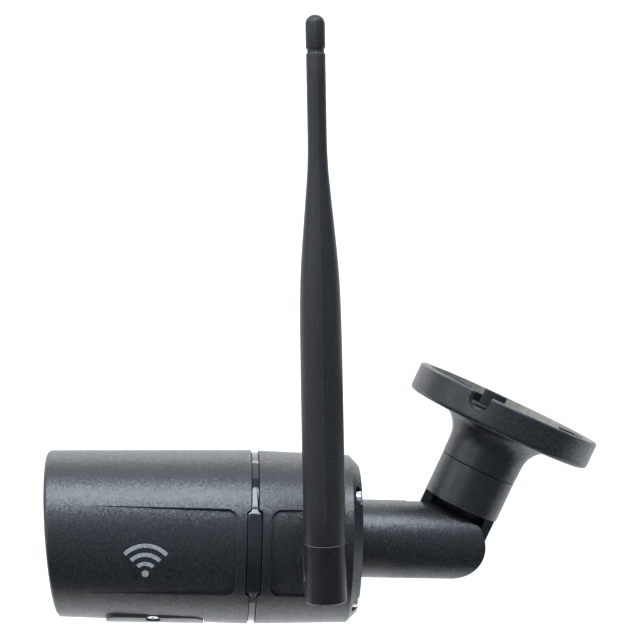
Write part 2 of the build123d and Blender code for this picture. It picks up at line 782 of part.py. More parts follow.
# Infrared lights: flanged cylinders with domed ends.
with BuildPart() as ir_leds:
    with BuildSketch(body_section(led_front_x - 0.8)):
        with PolarLocations(led_circle_r, led_count):
            Circle(led_r + 0.35)
    extrude(amount=0.78)
    with BuildSketch(body_section(led_front_x - 3.0)):
        with PolarLocations(led_circle_r, led_count):
            Circle(led_r)
    extrude(amount=2.9)
    fillet(ir_leds.edges().group_by(Axis.X)[0], radius=led_r * 0.8)
ir_leds.part.label = "ir_leds"
export_step(ir_leds.part, "parts/ir_leds.step")

with BuildPart() as light_sensor:
    with BuildSketch(body_section(led_front_x - 2.2)):
        with Locations((0, -13.2)):
            Circle(1.5)
    extrude(amount=2.15)
    fillet(light_sensor.edges().group_by(Axis.X)[0], radius=1.1)
light_sensor.part.label = "light_sensor"
export_step(light_sensor.part, "parts/light_sensor.step")

with BuildPart() as led_board_screws:
    with BuildSketch(body_section(led_back_x + small_gap)):
        with PolarLocations(board_screw_circle_r, board_screw_count, start_angle=first_board_screw_turn):
            Circle(1.3)
    extrude(amount=1.0)
    with BuildSketch(body_section(led_front_x - 1.8)):
        with PolarLocations(board_screw_circle_r, board_screw_count, start_angle=first_board_screw_turn):
            Circle(0.8)
    extrude(amount=board_thick + 1.9)
led_board_screws.part.label = "led_board_screws"
export_step(led_board_screws.part, "parts/led_board_screws.step")

# Foam collar that keeps the infrared light out of the lens.
with BuildPart() as lens_collar:
    with BuildSketch(body_profile):
        band(glass_back_x + 0.05, led_front_x, 8.3, 10.4)
    revolve(axis=body_axis)
lens_collar.part.label = "lens_collar"
export_step(lens_collar.part, "parts/lens_collar.step")

holder_front_x = sensor_board_x - 8.0

with BuildPart() as lens_barrel:
    with BuildSketch(body_profile):
        Polygon(
            (barrel_front_x, barrel_lip_r - 1.8),
            (barrel_front_x, barrel_lip_r),
            (barrel_front_x + 3.6, barrel_lip_r),
            (barrel_front_x + 4.2, barrel_r),
            (holder_front_x + 0.9, barrel_r),
            (holder_front_x + 0.9, barrel_bore_r),
            (lens_seat_x, barrel_bore_r),
            (lens_seat_x, lens_r + 0.05),
            (lens_seat_x - 1.2, lens_r + 0.05),
            align=None,
        )
    revolve(axis=body_axis)
lens_barrel.part.label = "lens_barrel"
export_step(lens_barrel.part, "parts/lens_barrel.step")

# Front lens: bulging outer face.
with BuildPart() as front_lens:
    with BuildSketch(body_profile):
        with BuildLine():
            Polyline(
                (lens_front_x, 0),
                (lens_seat_x - 0.05, 0),
                (lens_seat_x - 0.05, lens_r),
                (lens_front_x + 1.3, lens_r),
            )
            dome(lens_front_x + 1.3, lens_r, lens_front_x)
        make_face()
    revolve(axis=body_axis)
front_lens.part.label = "front_lens"
export_step(front_lens.part, "parts/front_lens.step")

with BuildPart() as rear_lens:
    with BuildSketch(body_section(-43.0)):
        Circle(barrel_bore_r - 0.05)
    extrude(amount=2.0)
rear_lens.part.label = "rear_lens"
export_step(rear_lens.part, "parts/rear_lens.step")

# Lens holder: threaded tube on a box with a slot for the filter.
with BuildPart() as lens_holder:
    with BuildSketch(body_section(holder_front_x)):
        RectangleRounded(22, 17, 1.5)
    extrude(amount=sensor_board_x - holder_front_x)
    with BuildSketch(body_section(holder_front_x - 4.0)):
        Circle(8.0)
    extrude(amount=4.5)
    with BuildSketch(body_section(holder_front_x - 5)):
        Circle(barrel_r + 0.05)
    extrude(amount=6.0, mode=Mode.SUBTRACT)
    with BuildSketch(body_section(holder_front_x - 5)):
        Circle(4.6)
    extrude(amount=20, mode=Mode.SUBTRACT)
    with BuildSketch(body_section(holder_front_x + 1.6)):
        Rectangle(19.2, 11)
    extrude(amount=2.4, mode=Mode.SUBTRACT)
    with BuildSketch(body_section(sensor_board_x - 2.4)):
        Rectangle(14, 12)
    extrude(amount=3, mode=Mode.SUBTRACT)
lens_holder.part.label = "lens_holder"
export_step(lens_holder.part, "parts/lens_holder.step")

filter_x = holder_front_x + 2.0

# Day and night filter: a slide with two windows.
with BuildPart() as filter_slide:
    with BuildSketch(body_section(filter_x)):
        with Locations((-filter_step / 2, 0)):
            Rectangle(11.7, 10)
            with GridLocations(filter_step, 1, 2, 1):
                Rectangle(4.8, 7.6, mode=Mode.SUBTRACT)
    extrude(amount=1.6)
filter_slide.part.label = "filter_slide"
export_step(filter_slide.part, "parts/filter_slide.step")

with BuildPart() as day_filter:
    with BuildSketch(body_section(filter_x + 0.4)):
        Rectangle(4.78, 7.58)
    extrude(amount=0.8)
day_filter.part.label = "day_filter"
export_step(day_filter.part, "parts/day_filter.step")

with BuildPart() as night_filter:
    with BuildSketch(body_section(filter_x + 0.4)):
        with Locations((-filter_step, 0)):
            Rectangle(4.78, 7.58)
    extrude(amount=0.8)
night_filter.part.label = "night_filter"
export_step(night_filter.part, "parts/night_filter.step")

# ---- Electronics -------------------------------------------------------------------

with BuildPart() as sensor_board:
    with BuildSketch(body_section(sensor_board_x)):
        RectangleRounded(32, 32, 2)
        with GridLocations(board_hole_pitch, board_hole_pitch, 2, 2):
            Circle(board_hole_r, mode=Mode.SUBTRACT)
    extrude(amount=board_thick)
sensor_board.part.label = "sensor_board"
export_step(sensor_board.part, "parts/sensor_board.step")

with BuildPart() as image_sensor:
    with BuildSketch(body_section(sensor_board_x - 1.2)):
        Rectangle(9, 8)
    extrude(amount=1.18)
image_sensor.part.label = "image_sensor"
export_step(image_sensor.part, "parts/image_sensor.step")

with BuildPart() as board_standoffs:
    with BuildSketch(body_section(led_back_x + small_gap)):
        with GridLocations(board_hole_pitch, board_hole_pitch, 2, 2):
            RegularPolygon(2.3, 6)
            Circle(1.02, mode=Mode.SUBTRACT)
    extrude(amount=sensor_board_x - led_back_x - 0.04)
board_standoffs.part.label = "board_standoffs"
export_step(board_standoffs.part, "parts/board_standoffs.step")

# Small screws through both boards into the ends of the standoffs.
with BuildPart() as board_screws:
    with BuildSketch(body_section(sensor_board_x + board_thick + small_gap)):
        with GridLocations(board_hole_pitch, board_hole_pitch, 2, 2):
            Circle(1.9)
    extrude(amount=1.2)
    with BuildSketch(body_section(sensor_board_x - 4)):
        with GridLocations(board_hole_pitch, board_hole_pitch, 2, 2):
            Circle(1.0)
    extrude(amount=board_thick + 4.1)
    with BuildSketch(body_section(led_front_x - 1.22)):
        with GridLocations(board_hole_pitch, board_hole_pitch, 2, 2):
            Circle(1.9)
    extrude(amount=1.2)
    with BuildSketch(body_section(led_front_x - 0.1)):
        with GridLocations(board_hole_pitch, board_hole_pitch, 2, 2):
            Circle(1.0)
    extrude(amount=board_thick + 4.0)
board_screws.part.label = "board_screws"
export_step(board_screws.part, "parts/board_screws.step")

with BuildPart() as board_header:
    with BuildSketch(body_section(sensor_board_x + board_thick + small_gap)):
        area((-4.0, -0.02), (-2, 12))
    extrude(amount=6.5)
board_header.part.label = "board_header"
export_step(board_header.part, "parts/board_header.step")

main_board_x = sensor_board_x + board_thick + 1.9

with BuildPart() as main_board:
    with BuildSketch(body_side(0)):
        area((main_board_x, 20), (-19, 19))
    extrude(amount=-board_thick)
main_board.part.label = "main_board"
export_step(main_board.part, "parts/main_board.step")

with BuildPart() as processor:
    with BuildSketch(body_side(-small_gap)):
        area((-9, 4), (-9, 4))
    extrude(amount=1.2)
processor.part.label = "processor"
export_step(processor.part, "parts/processor.step")

# Heat sink: finned block on the processor.
with BuildPart() as heat_sink:
    with BuildSketch(body_side(-1.24)):
        area((-10, 5), (-10, 5))
    extrude(amount=6.0)
    with BuildSketch(body_side(-3.0)):
        with Locations((-2.5, -2.5)):
            with GridLocations(1, 2.8, 1, 5):
                Rectangle(16, 1.4)
    extrude(amount=6.0, mode=Mode.SUBTRACT)
heat_sink.part.label = "heat_sink"
export_step(heat_sink.part, "parts/heat_sink.step")

with BuildPart() as wifi_module:
    with BuildSketch(body_side(board_thick + small_gap)):
        area((1, 17), (0, 14))
    extrude(amount=-2.4)
wifi_module.part.label = "wifi_module"
export_step(wifi_module.part, "parts/wifi_module.step")

# Card socket: flat shell open at the bottom.
card_x = (door_hatch_x[0] + 3.5, door_hatch_x[0] + 14.5)
with BuildPart() as card_socket:
    with BuildSketch(body_side(-small_gap)):
        area((card_x[0] - 1, card_x[1] + 1), (-19, -5))
    extrude(amount=2.0)
    with BuildSketch(body_side(-0.5)):
        area((card_x[0] - 0.1, card_x[1] + 0.1), (-20, -6))
    extrude(amount=1.1, mode=Mode.SUBTRACT)
card_socket.part.label = "card_socket"
export_step(card_socket.part, "parts/card_socket.step")

with BuildPart() as memory_card:
    with BuildSketch(body_side(-0.55)):
        area(card_x, (-21.2, -6.2))
    extrude(amount=1.0)
memory_card.part.label = "memory_card"
export_step(memory_card.part, "parts/memory_card.step")

button_x = sum(card_x) / 2
button_y = board_thick + 1.9

with BuildPart() as reset_switch:
    with BuildSketch(body_side(board_thick + small_gap)):
        with Locations((button_x, -17)):
            Rectangle(4.5, 4)
    extrude(amount=-3.8)
    with BuildSketch(body_floor(-17.4)):
        with Locations((button_x, -button_y)):
            Circle(0.95)
    extrude(amount=3, mode=Mode.SUBTRACT)
reset_switch.part.label = "reset_switch"
export_step(reset_switch.part, "parts/reset_switch.step")

with BuildPart() as reset_button:
    with BuildSketch(body_floor(-17.9)):
        with Locations((button_x, -button_y)):
            Circle(0.9)
    extrude(amount=3.0)
reset_button.part.label = "reset_button"
export_step(reset_button.part, "parts/reset_button.step")

# ---- Antenna -----------------------------------------------------------------------

# Port: threaded brass barrel with a flange inside the shell.
with BuildPart() as antenna_port:
    with BuildSketch(port_section(22.0)):
        Circle(2.2)
    extrude(amount=2)
    with BuildSketch(port_section(23.4)):
        Circle(5.2)
    extrude(amount=1.48)
    with BuildSketch(port_section(24)):
        Circle(port_r)
    extrude(amount=10)
    with BuildSketch(port_section(30)):
        Circle(1.6)
    extrude(amount=5, mode=Mode.SUBTRACT)
antenna_port.part.label = "antenna_port"
export_step(antenna_port.part, "parts/antenna_port.step")

with BuildPart() as port_seal:
    with BuildSketch(port_section(port_face + small_gap)):
        Circle(4.9)
        Circle(port_r + 0.03, mode=Mode.SUBTRACT)
    extrude(amount=0.8)
port_seal.part.label = "port_seal"
export_step(port_seal.part, "parts/port_seal.step")

with BuildPart() as port_nut:
    with BuildSketch(port_section(port_face + 0.84)):
        RegularPolygon(4.7, 6)
        Circle(port_r + 0.03, mode=Mode.SUBTRACT)
    extrude(amount=2.0)
port_nut.part.label = "port_nut"
export_step(port_nut.part, "parts/port_nut.step")

# Plug: screws onto the port and holds the swivelling knuckle by its flange.
with BuildPart() as antenna_plug:
    with BuildSketch(port_section(port_face + 3.0)):
        Circle(3.95)
    extrude(amount=5.4)
    with BuildSketch(port_section(port_face + 6.4)):
        Circle(4.9)
    extrude(amount=1.9)
    with BuildSketch(port_section(port_face + 2)):
        Circle(port_r + 0.03)
    extrude(amount=4.4, mode=Mode.SUBTRACT)
antenna_plug.part.label = "antenna_plug"
export_step(antenna_plug.part, "parts/antenna_plug.step")

# Knuckle: square hub that swivels on the plug, with a tongue for the hinge.
with BuildPart() as antenna_knuckle:
    with BuildSketch(port_section(port_face + 0.3, x_dir=rod_across)):
        RectangleRounded(knuckle_size, knuckle_size, 2.2)
    extrude(amount=knuckle_end - port_face - 0.3)
    fillet(antenna_knuckle.edges().group_by(Axis.Y)[0], radius=0.8)
    with BuildSketch(fork_side):
        Circle(tongue_r)
        area((0, rod_out - knuckle_end + 0.5), (-tongue_r, tongue_r))
    extrude(amount=tongue_half, both=True)
    with BuildSketch(fork_side):
        Circle(pin_r + shaft_play)
    extrude(amount=10, both=True, mode=Mode.SUBTRACT)
    with BuildSketch(port_section(port_face)):
        Circle(5.5)
    extrude(amount=3.2, mode=Mode.SUBTRACT)
    with BuildSketch(port_section(port_face)):
        Circle(4.0)
    extrude(amount=7, mode=Mode.SUBTRACT)
    with BuildSketch(port_section(port_face + 6.1)):
        Circle(5.2)
    extrude(amount=2.5, mode=Mode.SUBTRACT)
antenna_knuckle.part.label = "antenna_knuckle"
export_step(antenna_knuckle.part, "parts/antenna_knuckle.step")

with BuildPart() as hinge_pin:
    with BuildSketch(fork_side):
        Circle(pin_r)
    extrude(amount=rod_r - 0.4, both=True)
hinge_pin.part.label = "hinge_pin"
export_step(hinge_pin.part, "parts/hinge_pin.step")

# Sleeve: the fork at the antenna's foot.
with BuildPart() as antenna_sleeve:
    with BuildSketch(rod_profile):
        Polygon(
            (0, 0),
            (0, rod_r - 0.5),
            (0.5, rod_r),
            (rod_seam - 0.1, rod_r - 0.2),
            (rod_seam - 0.1, 0),
            align=None,
        )
    revolve(axis=rod_axis)
    with BuildSketch(fork_side):
        Circle(tongue_r + 0.4)
        area((0, 9), (-9, tongue_r + 0.4))
        area((-tongue_r - 0.4, 0), (-9, 0))
    extrude(amount=tongue_half + 0.3, both=True, mode=Mode.SUBTRACT)
    with BuildSketch(fork_side):
        area((0, 9), (-9, 0))
        Circle(rod_foot, mode=Mode.SUBTRACT)
    extrude(amount=10, both=True, mode=Mode.SUBTRACT)
    with BuildSketch(fork_side):
        Circle(pin_r + 0.02)
    extrude(amount=10, both=True, mode=Mode.SUBTRACT)
antenna_sleeve.part.label = "antenna_sleeve"
export_step(antenna_sleeve.part, "parts/antenna_sleeve.step")

# Sheath: straight over its lower half, then drawn in to a slim top with a ringed tip.
ring_groove = rod_length - 10.8
with BuildPart() as antenna_sheath:
    with BuildSketch(rod_profile):
        with BuildLine():
            Line((rod_seam, 0), (rod_seam, rod_r))
            Spline(
                (rod_seam, rod_r),
                (80, 6.4),
                (98, 6.02),
                (110, 5.14),
                (122, 4.05),
                (132, 3.2),
                (143, rod_tip_r),
                tangents=((1, 0), (1, 0)),
            )
            Polyline(
                (143, rod_tip_r),
                (ring_groove - 0.85, rod_tip_r + 0.05),
                (ring_groove - 0.6, rod_tip_r - 0.35),
                (ring_groove + 0.6, rod_tip_r - 0.35),
                (ring_groove + 0.85, rod_tip_r + 0.05),
                (rod_length - 2.2, rod_tip_r + 0.05),
            )
            dome(rod_length - 2.2, rod_tip_r + 0.05, rod_length)
            Line((rod_length, 0), (rod_seam, 0))
        make_face()
    revolve(axis=rod_axis)
    with BuildSketch(rod_profile):
        band(rod_seam - 1, 150, 0, 1.9)
    revolve(axis=rod_axis, mode=Mode.SUBTRACT)
antenna_sheath.part.label = "antenna_sheath"
export_step(antenna_sheath.part, "parts/antenna_sheath.step")

with BuildPart() as antenna_wire:
    with BuildSketch(rod_profile):
        band(rod_seam, 148, 0, 1.6)
    revolve(axis=rod_axis)
antenna_wire.part.label = "antenna_wire"
export_step(antenna_wire.part, "parts/antenna_wire.step")
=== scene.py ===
import bmesh
import bpy
import json
from math import atan2, cos, pi, radians, sin
from mathutils import Matrix, Vector


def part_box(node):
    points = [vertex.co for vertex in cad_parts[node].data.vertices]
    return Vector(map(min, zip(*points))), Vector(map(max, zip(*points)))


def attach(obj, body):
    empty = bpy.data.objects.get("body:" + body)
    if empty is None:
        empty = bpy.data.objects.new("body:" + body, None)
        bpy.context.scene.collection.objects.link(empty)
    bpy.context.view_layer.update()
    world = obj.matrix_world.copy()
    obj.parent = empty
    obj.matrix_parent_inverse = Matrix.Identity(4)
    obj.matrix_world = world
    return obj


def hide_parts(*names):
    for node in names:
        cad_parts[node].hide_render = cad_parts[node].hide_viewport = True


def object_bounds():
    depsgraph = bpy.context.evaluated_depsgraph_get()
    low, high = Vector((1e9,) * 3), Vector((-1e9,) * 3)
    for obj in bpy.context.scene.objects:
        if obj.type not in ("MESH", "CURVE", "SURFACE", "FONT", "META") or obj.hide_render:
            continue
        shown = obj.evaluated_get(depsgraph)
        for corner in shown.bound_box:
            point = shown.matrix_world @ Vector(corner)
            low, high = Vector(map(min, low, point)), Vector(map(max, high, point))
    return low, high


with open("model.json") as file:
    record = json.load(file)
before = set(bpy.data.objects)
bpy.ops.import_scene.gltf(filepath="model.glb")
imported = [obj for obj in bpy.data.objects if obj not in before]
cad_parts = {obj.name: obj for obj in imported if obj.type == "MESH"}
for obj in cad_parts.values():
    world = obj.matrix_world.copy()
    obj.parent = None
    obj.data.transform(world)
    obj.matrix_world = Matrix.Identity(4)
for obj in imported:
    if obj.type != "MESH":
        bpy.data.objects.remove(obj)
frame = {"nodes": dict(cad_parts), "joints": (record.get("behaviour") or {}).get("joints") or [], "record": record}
cad_low, cad_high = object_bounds()
nodes = frame["nodes"]
scene = bpy.context.scene
mm = 0.001


def joint(name):
    return next(j for j in frame["joints"] if j["name"] == name)


# ---- Places, read from the frame ----------------------------------------------------

ring_low, ring_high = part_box("decor_ring")
ring_middle = (ring_low + ring_high) / 2
reference_to_back = 37.0 * mm
body = ring_middle.copy()  # the camera's reference point
body.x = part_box("rear_shell")[1].x - reference_to_back

# ---- Material helpers ---------------------------------------------------------------


class Look:
    """A node material with a few helpers for wiring it."""

    def __init__(self, name, **values):
        self.material = bpy.data.materials.new(name)
        self.material.use_nodes = True
        self.tree = self.material.node_tree
        self.shader = self.tree.nodes["Principled BSDF"]
        for socket, value in values.items():
            self.shader.inputs[socket.replace("_", " ")].default_value = value
        self.place = self.node("ShaderNodeTexCoord").outputs["Object"]

    def node(self, kind, **values):
        made = self.tree.nodes.new(kind)
        for key, value in values.items():
            if hasattr(made, key):
                setattr(made, key, value)
            else:
                made.inputs[key.replace("_", " ")].default_value = value
        return made

    def link(self, start, end):
        self.tree.links.new(start, end)

    def stretched(self, scale):
        made = self.node("ShaderNodeMapping")
        made.inputs["Scale"].default_value = scale
        self.link(self.place, made.inputs["Vector"])
        return made.outputs["Vector"]

    def noise(self, scale, detail=2.0, rough=0.5, place=None):
        made = self.node("ShaderNodeTexNoise", Scale=scale, Detail=detail, Roughness=rough)
        self.link(place or self.place, made.inputs["Vector"])
        return made.outputs["Fac"]

    def cells(self, scale):
        """A random colour in each cell."""
        made = self.node("ShaderNodeTexVoronoi", Scale=scale)
        self.link(self.place, made.inputs["Vector"])
        return made.outputs["Color"]

    def ramp(self, factor, *stops):
        made = self.node("ShaderNodeValToRGB")
        elements = made.color_ramp.elements
        while len(elements) < len(stops):
            elements.new(0.5)
        for element, (position, colour) in zip(elements, stops):
            element.position = position
            element.color = colour if len(colour) == 4 else (*colour, 1)
        self.link(factor, made.inputs["Fac"])
        return made.outputs["Color"]

    def range(self, factor, low, high, start=0.0, end=1.0):
        """From low to high while the factor goes from start to end."""
        made = self.node("ShaderNodeMapRange")
        for socket, value in (
            ("From Min", start), ("From Max", end), ("To Min", low), ("To Max", high),
        ):
            made.inputs[socket].default_value = value
        self.link(factor, made.inputs["Value"])
        return made.outputs["Result"]

    def mix(self, factor, first, second):
        made = self.node("ShaderNodeMix", data_type="RGBA")
        self.link(factor, made.inputs[0])
        for socket, value in ((6, first), (7, second)):
            if isinstance(value, (tuple, list)):
                made.inputs[socket].default_value = (*value[:3], 1)
            else:
                self.link(value, made.inputs[socket])
        return made.outputs[2]

    def bump(self, height, distance, strength=1.0, under=None):
        made = self.node("ShaderNodeBump", Strength=strength, Distance=distance)
        self.link(height, made.inputs["Height"])
        if under is not None:
            self.link(under, made.inputs["Normal"])
        return made.outputs["Normal"]

    def rounded(self, radius):
        """Normal with softened edges."""
        return self.node("ShaderNodeBevel", samples=4, Radius=radius).outputs["Normal"]

    def tilted(self, cells, normal, tilt):
        """Normal leaned a little differently in each cell."""
        centred = self.node("ShaderNodeVectorMath", operation="SUBTRACT")
        centred.inputs[1].default_value = (0.5, 0.5, 0.5)
        self.link(cells, centred.inputs[0])
        lean = self.node("ShaderNodeVectorMath", operation="MULTIPLY_ADD")
        lean.inputs[1].default_value = (tilt,) * 3
        self.link(centred.outputs[0], lean.inputs[0])
        self.link(normal, lean.inputs[2])
        unit = self.node("ShaderNodeVectorMath", operation="NORMALIZE")
        self.link(lean.outputs[0], unit.inputs[0])
        return unit.outputs[0]

    def wear_and_highlight_edges(self, radius, start):
        """1 where the surface turns sharply within this radius, and 0 where it is flat."""
        soft = self.node("ShaderNodeBevel", samples=6, Radius=radius).outputs["Normal"]
        alike = self.node("ShaderNodeVectorMath", operation="DOT_PRODUCT")
        self.link(soft, alike.inputs[0])
        self.link(self.node("ShaderNodeNewGeometry").outputs["Normal"], alike.inputs[1])
        nearly_flat = 0.985
        return self.range(alike.outputs["Value"], 1.0, 0.0, start, nearly_flat)

    def math(self, operation, *values):
        made = self.node("ShaderNodeMath", operation=operation)
        for socket, value in zip(made.inputs, values):
            if isinstance(value, (int, float)):
                socket.default_value = value
            else:
                self.link(value, socket)
        return made.outputs[0]

    def near_axis(self, axis, start, radius, foot=(0, 0, 0)):
        """1 within this radius of the axis, past this distance along it from its foot."""
        place = self.node("ShaderNodeVectorMath", operation="SUBTRACT")
        self.link(self.place, place.inputs[0])
        place.inputs[1].default_value = foot
        along = self.node("ShaderNodeVectorMath", operation="DOT_PRODUCT")
        across = self.node("ShaderNodeVectorMath", operation="CROSS_PRODUCT")
        length = self.node("ShaderNodeVectorMath", operation="LENGTH")
        for made in (along, across):
            self.link(place.outputs[0], made.inputs[0])
            made.inputs[1].default_value = axis
        self.link(across.outputs[0], length.inputs[0])
        past = self.math("GREATER_THAN", along.outputs["Value"], start)
        return self.math(
            "MULTIPLY", past, self.math("LESS_THAN", length.outputs["Value"], radius)
        )

    def set(self, **outputs):
        for socket, output in outputs.items():
            self.link(output, self.shader.inputs[socket.replace("_", " ")])
        return self.material


def grey(value, tint):
    return tuple(value * t for t in tint) + (1,)


# ---- Materials ----------------------------------------------------------------------

coat_base = (0.0055, 0.0066, 0.0078)


def powder_coat(name, hollow=None, notch=None):
    """Fine textured powder coat: small flakes, each tilted its own way, lighter on edges from a thinner coat and a
    painted highlight.

    hollow: axis, foot of the pale band, floor, inner and outer radius of the wall
    notch: what near_axis takes
    """
    grain, flake_tilt = 2500, 0.15
    look = Look(name, Specular_IOR_Level=0.72)
    grains = look.noise(grain, 3.0, 0.65)
    soft = look.noise(grain / 4, 2.0, 0.5)
    flakes = look.cells(grain)
    channels = look.node("ShaderNodeSeparateColor")
    look.link(flakes, channels.inputs[0])
    bright = look.range(channels.outputs[0], 0.0, 1.0, 0.55, 1.0)
    tone = look.ramp(grains, (0.35, grey(0.3, coat_base)), (0.65, grey(1.5, coat_base)))
    colour = look.mix(bright, tone, grey(2.9, coat_base))
    # Edges lighter: a thinner coat worn there, and a painted highlight where edges catch the light
    colour = look.mix(look.wear_and_highlight_edges(0.35 * mm, 0.86), colour, grey(3.2, coat_base))
    roughness = look.range(soft, 0.34, 0.4, 0.3, 0.7)
    if hollow:
        # Pale brownish band along the top of the hollow's wall; it ends at its foot, so the deeper wall stays dark
        # as painted shade. The floor is matt.
        axis, band_foot, floor, inner, outer = hollow
        wall = look.math(
            "SUBTRACT",
            look.near_axis(axis, band_foot, outer), look.near_axis(axis, band_foot, inner),
        )
        pale_wall_band = look.ramp(soft, (0.3, (0.27, 0.235, 0.195)), (0.7, (0.37, 0.325, 0.275)))
        colour = look.mix(wall, colour, pale_wall_band)
        roughness = look.math("MAXIMUM", roughness, look.near_axis(axis, floor, inner))
    if notch:
        # Painted shade: near-black colour and matt roughness in the cut through the rim
        notch_shade = look.near_axis(*notch)
        colour = look.mix(notch_shade, colour, (0.001, 0.001, 0.001))
        roughness = look.math("MAXIMUM", roughness, notch_shade)
    skin = look.bump(grains, 0.012 * mm, 0.8, look.rounded(0.3 * mm))
    return look.set(
        Base_Color=colour, Roughness=roughness, Normal=look.tilted(flakes, skin, flake_tilt)
    )


def plastic(
    name, base, rough, depth=0.01 * mm, grain=4000, specular=0.5, edge=0.15 * mm,
    edge_wear_and_highlight=0.0, speckle=0.2,
):
    """Moulded plastic with a fine grain and faint flow marks; softened edges, which can be lightened as rubbed
    wear and a painted highlight.
    """
    look = Look(name, Specular_IOR_Level=specular)
    fine = look.noise(grain, 2.0, 0.6)
    flow = look.noise(90, 2.0, 0.5)
    mottle = look.range(look.noise(grain * 0.8, 1.0, 0.5), 0.0, speckle, 0.45, 0.7)
    colour = look.ramp(flow, (0.35, grey(0.85, base)), (0.65, grey(1.15, base)))
    colour = look.mix(mottle, colour, grey(4.0, base))
    # Edges lighter: rubbed wear, and a painted highlight where edges catch the light
    if edge_wear_and_highlight:
        colour = look.mix(look.wear_and_highlight_edges(0.45 * mm, 0.8), colour, grey(edge_wear_and_highlight, base))
    roughness = look.range(fine, *rough, 0.3, 0.7)
    normal = look.bump(fine, depth, 1.0, look.rounded(edge))
    return look.set(Base_Color=colour, Roughness=roughness, Normal=normal)


def metal(name, base, rough, stretch=(1, 1, 1)):
    """Metal with fine machining marks and a slight change of tone."""
    look = Look(name, Metallic=1.0)
    marks = look.noise(3000, 2.0, 0.6, look.stretched(stretch))
    tone = look.noise(300, 2.0, 0.5)
    colour = look.ramp(tone, (0.3, grey(0.85, base)), (0.7, grey(1.05, base)))
    roughness = look.range(marks, *rough, 0.3, 0.7)
    return look.set(
        Base_Color=colour, Roughness=roughness, Normal=look.bump(marks, 0.004 * mm)
    )


def clear(name, base, alpha, rough=0.02, specular=0.8):
    """Tinted glass with a faint unevenness in its polish."""
    look = Look(name, Alpha=alpha, Specular_IOR_Level=specular)
    smear = look.noise(60, 3.0, 0.6)
    colour = look.ramp(smear, (0.3, grey(0.9, base)), (0.7, grey(1.1, base)))
    roughness = look.range(smear, rough, rough + 0.04, 0.3, 0.7)
    return look.set(Base_Color=colour, Roughness=roughness)


def circuit_board(name, mask, copper):
    """Solder mask over copper tracks."""
    look = Look(name, Specular_IOR_Level=0.5)
    brick = look.node("ShaderNodeTexBrick", Scale=260.0)
    for socket, value in (("Mortar Size", 0.09), ("Brick Width", 1.7), ("Row Height", 0.4)):
        brick.inputs[socket].default_value = value
    for socket, value in (("Color1", 0.0), ("Color2", 0.15), ("Mortar", 1.0)):
        brick.inputs[socket].default_value = (value, value, value, 1)
    turned = look.node("ShaderNodeMapping")
    turned.inputs["Rotation"].default_value = (0, pi / 2, 0)
    look.link(look.place, turned.inputs["Vector"])
    look.link(turned.outputs["Vector"], brick.inputs["Vector"])
    tracks = brick.outputs["Color"]
    fine = look.noise(2500, 2.0, 0.5)
    return look.set(
        Base_Color=look.mix(tracks, mask, copper),
        Roughness=look.range(fine, 0.3, 0.42, 0.3, 0.7),
        Normal=look.bump(tracks, 0.03 * mm),
    )


looks = {
    "powder_coat": powder_coat("powder_coat"),
    "gloss_band": plastic(
        "gloss_band", (0.005, 0.006, 0.0075), (0.07, 0.12),
        depth=0.001 * mm, grain=600, specular=0.8, edge=0.1 * mm,
    ),
    # The sheath's edges are lightened: a painted highlight on its lip and rims, with some rubbed wear
    "antenna_plastic": plastic(
        "antenna_plastic", (0.0056, 0.0054, 0.0056), (0.4, 0.56),
        depth=0.05 * mm, grain=2600, edge=0.3 * mm, edge_wear_and_highlight=16.0, speckle=0.75,
    ),
    "steel": metal("steel", (0.72, 0.74, 0.77), (0.16, 0.3)),
    "brass": metal("brass", (0.72, 0.52, 0.2), (0.18, 0.32)),
    "seal_rubber": plastic(
        "seal_rubber", (0.012, 0.012, 0.012), (0.55, 0.7), depth=0.02 * mm, grain=1800
    ),
    "foam": plastic(
        "foam", (0.02, 0.02, 0.02), (0.85, 0.95), depth=0.12 * mm, grain=1600, specular=0.2
    ),
    "window_glass": clear("window_glass", (0.008, 0.009, 0.011), 0.07, specular=0.5),
    "lens_glass": clear("lens_glass", (0.012, 0.008, 0.035), 1.0, rough=0.01, specular=1.0),
    "filter_glass": clear("filter_glass", (0.25, 0.5, 0.5), 0.5),
    "black_plastic": plastic("black_plastic", (0.01, 0.01, 0.011), (0.35, 0.5)),
    "circuit_board": circuit_board("circuit_board", (0.01, 0.09, 0.03), (0.02, 0.2, 0.06)),
    "chip": plastic("chip", (0.012, 0.012, 0.014), (0.45, 0.6), grain=3000),
    "sensor_glass": plastic(
        "sensor_glass", (0.03, 0.04, 0.07), (0.04, 0.08),
        depth=0.001 * mm, grain=900, specular=0.9,
    ),
    "led_lens": clear("led_lens", (0.42, 0.44, 0.48), 0.3, rough=0.03),
    "bare_aluminium": metal(
        "bare_aluminium", (0.75, 0.76, 0.77), (0.25, 0.4), stretch=(0.05, 1, 1)
    ),
    "shield_steel": metal("shield_steel", (0.7, 0.7, 0.68), (0.2, 0.35)),
    "silver_print": plastic(
        "silver_print", (0.19, 0.2, 0.21), (0.35, 0.5),
        depth=0.03 * mm, grain=1900, specular=0.6,
    ),
    "light_board": circuit_board(
        "light_board", (0.006, 0.007, 0.008), (0.02, 0.022, 0.024)
    ),
    "button_plastic": plastic("button_plastic", (0.4, 0.03, 0.02), (0.35, 0.45)),
}


def dress(obj, material):
    obj.data.materials.clear()
    obj.data.materials.append(material)


for part in frame["record"]["subparts"]:
    dress(nodes[part["node"]], looks[part["material_slot"]])

# The base has a hollow back, 29.2 mm in radius, and a notch for the cable in its rim.
pan_up = Vector(joint("pan")["axis"])
pan_across = Vector((pan_up.z, 0, -pan_up.x))
notch_turn = radians(28.5)
notch_out = pan_across * -sin(notch_turn) + Vector((0, -cos(notch_turn), 0))
